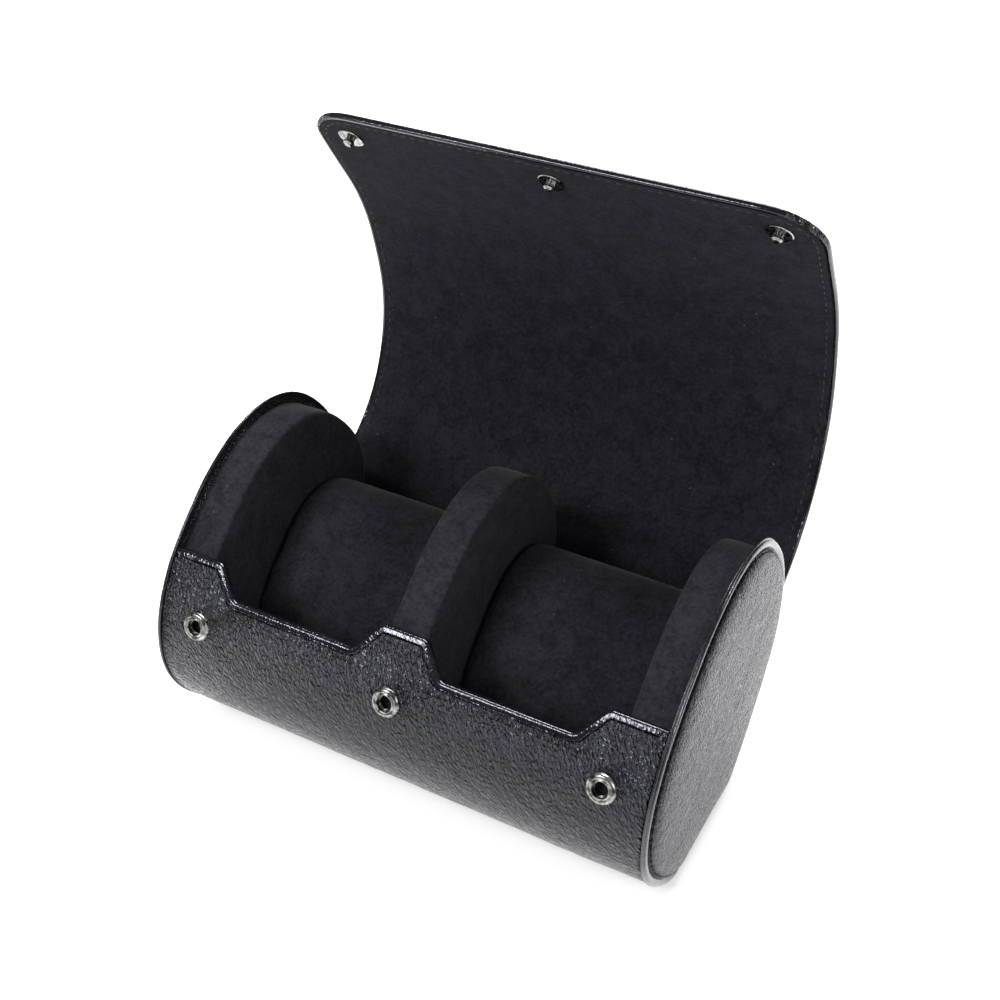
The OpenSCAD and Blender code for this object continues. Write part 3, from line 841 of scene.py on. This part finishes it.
for side, name in ((-1, "left"), (1, "right")):
    profile = [(77.9, 6), (77.9, 1.2), (77.92, 0.35), (78.0, -0.1), (78.15, -0.3), (78.4, -0.3),
               (78.55, -0.05), (78.68, 0.18), (78.9, 0.2), (79.1, 0.15), (79.28, 0.35), (79.38, 0.75),
               (79.4, 1.2), (79.32, 1.65), (79.12, 2.05), (78.8, 2.3), (78.4, 2.5), (78.35, 2.7),
               (78.6, 2.9), (79.0, 3.05), (79.45, 3.3), (79.95, 3.8), (80.4, 4.6), (80.8, 6),
               (81.1, 8.5), (81.3, 12), (81.42, 17), (81.48, 23), (81.5, 29), (81.5, 34)]
    bm = lathe_oval(368, cap_depth, [(side * x * MM, inset * MM) for x, inset in profile], cap_ruffle)
    grain = bm.loops.layers.uv.new("surface")
    for face in bm.faces:
        for loop in face.loops:
            loop[grain].uv = (loop.vert.co.y + loop.vert.co.x, loop.vert.co.z + loop.vert.co.x)
    mark(bm, "taut", lambda co: hump(rim_inset(co), -1 * MM, 2.3 * MM, 0.6 * MM))
    mark(bm, "groove", lambda co: max(hump(rim_inset(co), 2.5 * MM, 3.05 * MM, 0.25 * MM),
                                      hump(abs(co.x), 77 * MM, 77.95 * MM, 0.1 * MM)))
    cap = piece_from(bm, name + "_cap", cap_leather, 60)
    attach(cap, "case")
    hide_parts(name + "_cap_leather")
    stitches = [cap_stitch(side, number) for number in range(CAP_STITCHES)]
    stitching = sew(name + "_cap_stitching", stitches, 3.1 * MM, 0.55 * MM, dull_thread)
    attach(stitching, "case")


# Divider: a fibreboard core in a padded suede cover, glued to the lining between the bays.

half = [(0, -0.12), (2.5, -0.08), (4.2, -0.02), (4.9, 0.04), (5.4, 0.2), (5.72, 0.5), (5.88, 1.0),
        (5.98, 2.2), (6.1, 5), (6.2, 10), (6.25, 20), (6.25, 30)]
profile = [(-x, inset) for x, inset in reversed(half[1:])] + half
bm = lathe_oval(240, pad_depth, [(x * MM, inset * MM) for x, inset in profile], pad_ruffle)
divider_cover = piece_from(bm, "divider_cover", black_suede, 60)
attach(divider_cover, "case")
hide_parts("divider_suede")


# Ring snaps: a domed ring of antique nickel, drawn tight by an eyelet behind the leather, with a
# split ring of bright spring wire inside it that grips the stud.

def metal_material(name, dark, light, roughness, mottle_scale):
    """Plated metal with a fine mottled patina."""
    material, tree, shader = new_material(name)
    place = add_node(tree, "ShaderNodeTexCoord").outputs["Object"]
    patina = clouded(tree, place, mottle_scale, 5.0, 0.7)["Fac"]
    colour = mixed(tree, ranged(tree, patina, 0.40, 0.62), (*dark, 1), (*light, 1))
    rough = ranged(tree, patina, 0.3, 0.7, roughness - 0.08, roughness + 0.12)
    tree.links.new(colour, shader.inputs["Base Color"])
    tree.links.new(rough, shader.inputs["Roughness"])
    shader.inputs["Metallic"].default_value = 1.0
    return material


antique_nickel = metal_material("antique_nickel", (0.075, 0.073, 0.070), (0.46, 0.45, 0.43), 0.26, 520.0)
bright_nickel = metal_material("bright_nickel", (0.10, 0.10, 0.10), (0.50, 0.49, 0.48), 0.20, 620.0)
finish_nodes(antique_nickel, "socket_eyelets")
finish_nodes(bright_nickel, "socket_springs")


def turned(name, places, profile, material):
    """Turned metal: the profile of (radius, height) is spun at each place."""
    bm = bmesh.new()
    for place in places:
        line = [bm.verts.new((r * MM, 0, h * MM)) for r, h in profile]
        edges = [bm.edges.new(pair) for pair in zip(line, line[1:])]
        spun = bmesh.ops.spin(bm, geom=[*line, *edges], cent=(0, 0, 0), axis=(0, 0, 1), dvec=(0, 0, 0),
                              angle=math.tau, steps=64, use_merge=True, use_duplicate=False)
        loose = {v for e in spun["geom_last"] if isinstance(e, bmesh.types.BMEdge) for v in e.verts}
        loose |= set(line)
        ring = set()
        todo = list(loose)
        while todo:
            vert = todo.pop()
            if vert in ring:
                continue
            ring.add(vert)
            todo.extend(e.other_vert(vert) for e in vert.link_edges)
        bmesh.ops.transform(bm, matrix=place, verts=list(ring))
    bmesh.ops.remove_doubles(bm, verts=list(bm.verts), dist=1e-6)
    return piece_from(bm, name, material, 50)


ring_profile = [(2.3, -0.24), (4.4, -0.24), (4.42, -0.05), (4.36, 0.2), (4.2, 0.5), (3.95, 0.78),
                (3.65, 0.95), (3.35, 1.02), (3.12, 0.98), (2.98, 0.92), (2.86, 0.98), (2.72, 1.16),
                (2.56, 1.22), (2.42, 1.16), (2.32, 1.0), (2.3, 0.8), (2.3, -0.24)]
snap_rings = turned("snap_rings", socket_frames, ring_profile, antique_nickel)
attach(snap_rings, "case")
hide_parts("snap_sockets")


# Lid: leather and suede over card, in one length that hangs on the back of the roll.  Its leather
# is turned round the card's edge; its suede is let in just inside that edge.  It is cut into
# four lengths at the middle of each panel, and each length is laid across one fold.

LID_END_S = FOLDS[-1] + 0.35 * MM
LID_ROOT_S = ROLL_END_S - 9 * MM
lid_corners = [(-LID_X, LID_ROOT_S), (LID_X, LID_ROOT_S), (LID_X, LID_END_S), (-LID_X, LID_END_S)]
CUTS = [ROLL_END_S, 20 * MM, 60.5 * MM, 102.5 * MM, LID_END_S + 1 * MM]
LENGTHS = ["fold", "back", "top", "flap"]
BENDS = [(-5 * MM, 5 * MM), (30 * MM, 50 * MM), (71 * MM, 91 * MM), (113 * MM, 135 * MM)]
LID_CORNER = 16 * MM
SKIVED = 0.85 * MM
FOLD_FULLNESS = 1.0 * MM


def skive(bm):
    """Thins the lid towards its free edges, from the grain side, and eases the suede over the fold."""
    for vert in bm.verts:
        if vert.co.z < -LEATHER - BOARD / 2:
            vert.co.z -= FOLD_FULLNESS * math.exp(-((vert.co.y / (2.6 * MM)) ** 2))
        x = abs(vert.co.x) - (LID_X - LID_CORNER)
        s = vert.co.y - (LID_END_S - LID_CORNER)
        from_edge = LID_CORNER - (math.hypot(x, s) if x > 0 and s > 0 else max(x, s))
        share = 1 - min(1, max(0, from_edge) / (7 * MM))
        from_fold = min(1, max(0, vert.co.y) / (25 * MM))
        if vert.co.z > -0.75 * MM:
            vert.co.z -= SKIVED * from_fold * share * share * (3 - 2 * share)


def lid_lengths(corners, radius, top_depth, thickness, shape, step, wobble, name, material, nodes):
    """Cuts a whole lid layer into its four lengths and lays each on the case."""
    made = []
    free_edge = corners[1:] + corners[:1]
    for number, label in enumerate(LENGTHS):
        bm = cut_blank(corners, (2, 3), radius, top_depth, thickness)
        shape(bm)
        trim(bm, CUTS[number], False)
        if number < 3:
            trim(bm, CUTS[number + 1], True)
        cross_cuts(bm, 1, CUTS[number] + step, min(CUTS[number + 1], LID_END_S), step)
        cross_cuts(bm, 0, -72 * MM, 73 * MM, 6 * MM)
        skive(bm)
        mark(bm, "taut", lambda co: hump(edge_distance(free_edge, co), 0, 1.8 * MM, 0.8 * MM))
        lay_on(bm, wobble)
        piece = piece_from(bm, f"{name}_{label}", material)
        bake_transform(piece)
        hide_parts(nodes[number])
        made.append(piece)
    return made


def shape_lid_leather(bm):
    """Turns the edge up round the card, and leaves a recess for the card and the suede."""
    round_rims(bm, 0.6 * MM, 4)
    step_in(bm, False, 0.45 * MM, 0)
    step_in(bm, False, 0.05 * MM, -(SHELL - LEATHER - GLUE))
    step_in(bm, True, 1.3 * MM, 0.04 * MM)
    step_in(bm, True, 0.35 * MM, -0.2 * MM)
    step_in(bm, True, 0.35 * MM, 0.16 * MM)
    step_in(bm, True, 4.2 * MM, 0)


leather_lengths = lid_lengths(lid_corners, LID_CORNER, 0, SHELL - GLUE, shape_lid_leather,
                              2.0 * MM, 0.18 * MM, "lid_leather", black_leather,
                              ["lid_back_leather", "lid_top_leather", "lid_front_leather", "flap_leather"])


def shape_lid_suede(bm):
    """Softens the suede's cut edge."""
    round_rims(bm, 0.3 * MM, 2)


# The lid's suede is a darker copy of the same suede: painted shade.
shaded_lid_suede = suede_material("shaded_lid_suede", (0.0068, 0.0068, 0.0098), (0.021, 0.021, 0.0285), 0.05)
SUEDE_IN = 1.25 * MM
suede_corners = [(x - math.copysign(SUEDE_IN, x), s - (SUEDE_IN if s > 0 else 0))
                 for x, s in lid_corners]
suede_lengths = lid_lengths(suede_corners, LID_CORNER - SUEDE_IN, LEATHER + BOARD, SUEDE,
                            shape_lid_suede, 2.0 * MM, 0, "shaded_lid_suede", shaded_lid_suede,
                            ["lid_back_suede", "lid_top_suede", "lid_front_suede", "flap_suede"])
LID_STITCH_INSET = 3.1 * MM
LID_STITCH_PITCH = 3.0 * MM
LID_STITCH_START = 16 * MM


def lid_seam():
    """(x, s, direction) of each stitch, from one side of the fold, round the free edge, to the other."""
    side = LID_X - LID_STITCH_INSET
    straight = LID_END_S - LID_CORNER
    radius = LID_CORNER - LID_STITCH_INSET
    for s in np.arange(LID_STITCH_START, straight, LID_STITCH_PITCH):
        yield -side, s, (0, 1)
        yield side, s, (0, 1)
    for turn in np.arange(0.1, math.pi / 2, LID_STITCH_PITCH / radius):
        reach_x, reach_s = radius * math.cos(turn), radius * math.sin(turn)
        for way in (-1, 1):
            yield (way * (LID_X - LID_CORNER + reach_x), straight + reach_s,
                   (-way * math.sin(turn), math.cos(turn)))
    for x in np.arange(-LID_X + LID_CORNER, LID_X - LID_CORNER, LID_STITCH_PITCH):
        yield x, LID_END_S - LID_STITCH_INSET, (1, 0)


for number, label in enumerate(LENGTHS):
    near, far = BENDS[number]
    stitches = []
    for x, s, (toward_x, toward_s) in lid_seam():
        if CUTS[number] + 1 * MM < s < CUTS[number + 1] - 1 * MM:
            middle, along, outward = strip_stitch(x, s, toward_x, toward_s, SHELL - 0.02 * MM)
            stitches.append((middle, along, -outward))
    if stitches:
        seam = sew(f"lid_stitching_{label}", stitches, 1.8 * MM, 0.4 * MM, waxed_thread)
        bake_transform(seam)


# Studs: bright nickel, a flat base on the suede with a ball that the ring snap grips, riveted
# through the card.

finish_nodes(bright_nickel, "snap_studs", "stud_rivets")


# Pillows: a block of foam in a suede sleeve with a sewn panel at each end, one to a bay.  A watch is
# strapped round it.

foam = fibre_material("foam", (0.45, 0.43, 0.38), (0.7, 0.68, 0.62), 1500.0)
finish_nodes(foam, "left_pillow_foam", "right_pillow_foam")


# The pillow's oval: half axes in mm, power and lean in degrees
PILLOW_LONG_HALF, PILLOW_SHORT_HALF = 32, 25
PILLOW_POWER = 2.4
PILLOW_LEAN = 40


def pillow_shell(low_corner, high_corner, slack):
    """The sleeve before it is filled: an oval drum whose ends are set in."""
    middle = (low_corner + high_corner) / 2
    bm = bmesh.new()
    bmesh.ops.create_circle(bm, cap_ends=True, segments=96, radius=1)
    for vert in bm.verts:
        angle = math.atan2(vert.co.y, vert.co.x)
        long_share = (abs(math.cos(angle)) / PILLOW_LONG_HALF) ** PILLOW_POWER
        short_share = (abs(math.sin(angle)) / PILLOW_SHORT_HALF) ** PILLOW_POWER
        reach = (long_share + short_share) ** (-1 / PILLOW_POWER)
        lean = angle + math.radians(PILLOW_LEAN)
        vert.co = (0, (reach - slack) * MM * math.cos(lean), (reach - slack) * MM * math.sin(lean))
    length = high_corner.x - low_corner.x
    face = bm.faces[:][0]
    rings = [(0.0, 0.72), (0.0, 0.93), (0.02, 0.985), (0.05, 0.995), (0.15, 1.0), (0.3, 1.0), (0.5, 1.0),
             (0.7, 1.0), (0.85, 1.0), (0.95, 0.995), (0.98, 0.985), (1.0, 0.93), (1.0, 0.72)]
    size_before = 1
    for step, (share, size) in enumerate(rings):
        if step:
            face = next_ring(bm, face, step == 1)
        for vert in face.verts:
            vert.co = (low_corner.x + share * length, vert.co.y * size / size_before,
                       vert.co.z * size / size_before)
        size_before = size
    bmesh.ops.translate(bm, verts=list(bm.verts), vec=(0, middle.y, middle.z))
    return bm


def plump(piece, voxel, pressure, most):
    """Fills the sleeve: remesh, cloth under pressure, with the movement capped, applied."""
    remesh = piece.modifiers.new("remesh", "REMESH")
    remesh.mode = "VOXEL"
    remesh.voxel_size = voxel
    depsgraph = bpy.context.evaluated_depsgraph_get()
    depsgraph.update()
    piece.data = bpy.data.meshes.new_from_object(piece.evaluated_get(depsgraph))
    piece.modifiers.clear()
    start = [v.co.copy() for v in piece.data.vertices]
    cloth = piece.modifiers.new("cloth", "CLOTH")
    cloth.settings.quality = 5
    cloth.settings.mass = 0.2
    cloth.settings.use_pressure = True
    cloth.settings.uniform_pressure_force = pressure
    cloth.settings.effector_weights.gravity = 0
    cloth.point_cache.frame_start = 1
    cloth.point_cache.frame_end = 20
    for number in range(1, 21):
        bpy.context.scene.frame_set(number)
    depsgraph = bpy.context.evaluated_depsgraph_get()
    piece.data = bpy.data.meshes.new_from_object(piece.evaluated_get(depsgraph))
    piece.modifiers.clear()
    bpy.context.scene.frame_set(1)
    for vert, was in zip(piece.data.vertices, start):
        move = vert.co - was
        if move.length > most:
            vert.co = was + move * (most / move.length)


for name in ("left", "right"):
    low_corner, high_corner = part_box(name + "_pillow_suede")
    bm = pillow_shell(low_corner - Vector((1 * MM, 0, 0)), high_corner + Vector((1 * MM, 0, 0)), 0.5)
    pillow = piece_from(bm, name + "_pillow", black_suede, 60)
    plump(pillow, 1.8 * MM, 4.0, 0.7 * MM)
    pillow.data.shade_smooth()
    smooth = pillow.modifiers.new("smooth", "SUBSURF")
    smooth.levels = smooth.render_levels = 1
    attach(pillow, name + "_pillow")
    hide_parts(name + "_pillow_suede", name + "_pillow_ends", name + "_pillow_foam")
